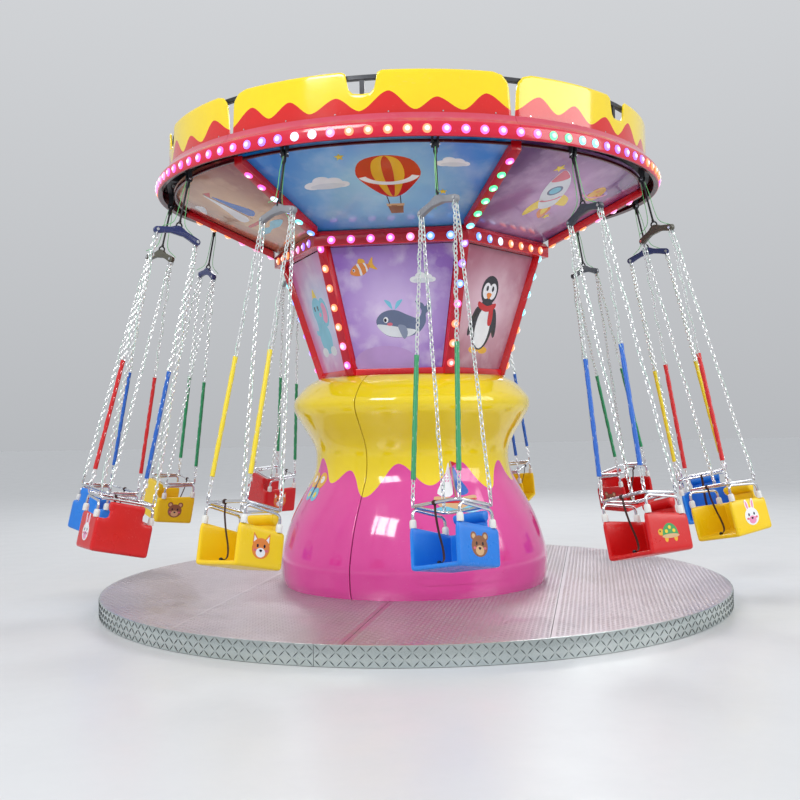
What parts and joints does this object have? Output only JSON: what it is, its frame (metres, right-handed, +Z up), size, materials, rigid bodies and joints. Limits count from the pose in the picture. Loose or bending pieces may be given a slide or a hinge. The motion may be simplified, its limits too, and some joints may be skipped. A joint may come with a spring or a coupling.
{
  "type": "chair swing ride",
  "caption": "Children's chair swing ride: chairs on chains hang from a turning ring under a lamp-lit round canopy, on a moulded pedestal and a round tread-plate platform.",
  "frame": {"origin": "centre of the platform's underside, on the floor", "axes": "+Z up along the mast; the front of the ride, as pictured, faces -Y"},
  "size_m": [4.4033, 4.3863, 2.94],
  "materials": {
    "tread_plate": "bright five-bar tread plate, lightly scratched",
    "base_steel": "dark painted steel",
    "pedestal_pink": "glossy moulded fibreglass, pink under yellow",
    "lamp_box_red": "glossy red box section with round lamps",
    "printed_board": "satin printed board",
    "rim_red": "glossy red fibreglass cove with round lamps",
    "crown_yellow": "glossy yellow fibreglass over a red wave",
    "roof_grey": "plain grey fibreglass with a dark steel hoop",
    "chain_chrome": "bright plated chain, tube and painted spreader",
    "seat_blue": "moulded blue plastic",
    "seat_red": "moulded red plastic",
    "seat_yellow": "moulded yellow plastic"
  },
  "bodies": {
    "stand": {"platform_base": "base_steel", "deck_plate_left_outer": "tread_plate", "deck_plate_left_inner": "tread_plate", "deck_plate_right_inner": "tread_plate", "deck_plate_right_outer": "tread_plate", "edge_band_left": "tread_plate", "edge_band_right": "tread_plate", "pedestal_half_right": "pedestal_pink", "pedestal_half_left": "pedestal_pink", "pedestal_hatch": "pedestal_pink", "centre_mast": "base_steel", "drum_frame": "lamp_box_red", "drum_board_front_right": "printed_board", "drum_board_back_right": "printed_board", "drum_board_back": "printed_board", "drum_board_back_left": "printed_board", "drum_board_front_left": "printed_board", "drum_board_front": "printed_board", "ceiling_frame": "lamp_box_red", "ceiling_board_front_right": "printed_board", "ceiling_board_back_right": "printed_board", "ceiling_board_back": "printed_board", "ceiling_board_back_left": "printed_board", "ceiling_board_front_left": "printed_board", "ceiling_board_front": "printed_board", "lamp_rim": "rim_red", "roof": "roof_grey", "crown_piece_front_right": "crown_yellow", "crown_piece_back_right": "crown_yellow", "crown_piece_back": "crown_yellow", "crown_piece_back_left": "crown_yellow", "crown_piece_front_left": "crown_yellow", "crown_piece_front": "crown_yellow"},
    "carrier": {"carrier_arms": "base_steel", "carrier_ring": "base_steel"},
    "chair_01": {"chair_01_sling": "chain_chrome", "chair_01_seat": "seat_blue"},
    "chair_02": {"chair_02_sling": "chain_chrome", "chair_02_seat": "seat_red"},
    "chair_03": {"chair_03_sling": "chain_chrome", "chair_03_seat": "seat_yellow"},
    "chair_04": {"chair_04_sling": "chain_chrome", "chair_04_seat": "seat_blue"},
    "chair_05": {"chair_05_sling": "chain_chrome", "chair_05_seat": "seat_red"},
    "chair_06": {"chair_06_sling": "chain_chrome", "chair_06_seat": "seat_yellow"},
    "chair_07": {"chair_07_sling": "chain_chrome", "chair_07_seat": "seat_blue"},
    "chair_08": {"chair_08_sling": "chain_chrome", "chair_08_seat": "seat_red"},
    "chair_09": {"chair_09_sling": "chain_chrome", "chair_09_seat": "seat_yellow"},
    "chair_10": {"chair_10_sling": "chain_chrome", "chair_10_seat": "seat_blue"},
    "chair_11": {"chair_11_sling": "chain_chrome", "chair_11_seat": "seat_red"},
    "chair_12": {"chair_12_sling": "chain_chrome", "chair_12_seat": "seat_yellow"}
  },
  "joints": [
    {"name": "carousel_spin", "type": "hinge", "parent": "stand", "child": "carrier", "pos_m": [0, 0, 2.56], "axis": [0, 0, 1], "continuous": true},
    {"name": "chair_01_swing", "type": "hinge", "parent": "carrier", "child": "chair_01", "pos_m": [0.14455, -1.52918, 2.55], "axis": [-0.9956, -0.0941, 0], "range_deg": [-20, 20]},
    {"name": "chair_02_swing", "type": "hinge", "parent": "carrier", "child": "chair_02", "pos_m": [0.88978, -1.25204, 2.55], "axis": [-0.8151, -0.5793, 0], "range_deg": [-20, 20]},
    {"name": "chair_03_swing", "type": "hinge", "parent": "carrier", "child": "chair_03", "pos_m": [1.39659, -0.63941, 2.55], "axis": [-0.4163, -0.9092, 0], "range_deg": [-20, 20]},
    {"name": "chair_04_swing", "type": "hinge", "parent": "carrier", "child": "chair_04", "pos_m": [1.52918, 0.14455, 2.55], "axis": [0.0941, -0.9956, 0], "range_deg": [-20, 20]},
    {"name": "chair_05_swing", "type": "hinge", "parent": "carrier", "child": "chair_05", "pos_m": [1.25204, 0.88978, 2.55], "axis": [0.5793, -0.8151, 0], "range_deg": [-20, 20]},
    {"name": "chair_06_swing", "type": "hinge", "parent": "carrier", "child": "chair_06", "pos_m": [0.63941, 1.39659, 2.55], "axis": [0.9092, -0.4163, 0], "range_deg": [-20, 20]},
    {"name": "chair_07_swing", "type": "hinge", "parent": "carrier", "child": "chair_07", "pos_m": [-0.14455, 1.52918, 2.55], "axis": [0.9956, 0.0941, 0], "range_deg": [-20, 20]},
    {"name": "chair_08_swing", "type": "hinge", "parent": "carrier", "child": "chair_08", "pos_m": [-0.88978, 1.25204, 2.55], "axis": [0.8151, 0.5793, 0], "range_deg": [-20, 20]},
    {"name": "chair_09_swing", "type": "hinge", "parent": "carrier", "child": "chair_09", "pos_m": [-1.39659, 0.63941, 2.55], "axis": [0.4163, 0.9092, 0], "range_deg": [-20, 20]},
    {"name": "chair_10_swing", "type": "hinge", "parent": "carrier", "child": "chair_10", "pos_m": [-1.52918, -0.14455, 2.55], "axis": [-0.0941, 0.9956, 0], "range_deg": [-20, 20]},
    {"name": "chair_11_swing", "type": "hinge", "parent": "carrier", "child": "chair_11", "pos_m": [-1.25204, -0.88978, 2.55], "axis": [-0.5793, 0.8151, 0], "range_deg": [-20, 20]},
    {"name": "chair_12_swing", "type": "hinge", "parent": "carrier", "child": "chair_12", "pos_m": [-0.63941, -1.39659, 2.55], "axis": [-0.9092, 0.4163, 0], "range_deg": [-20, 20]}
  ]
}
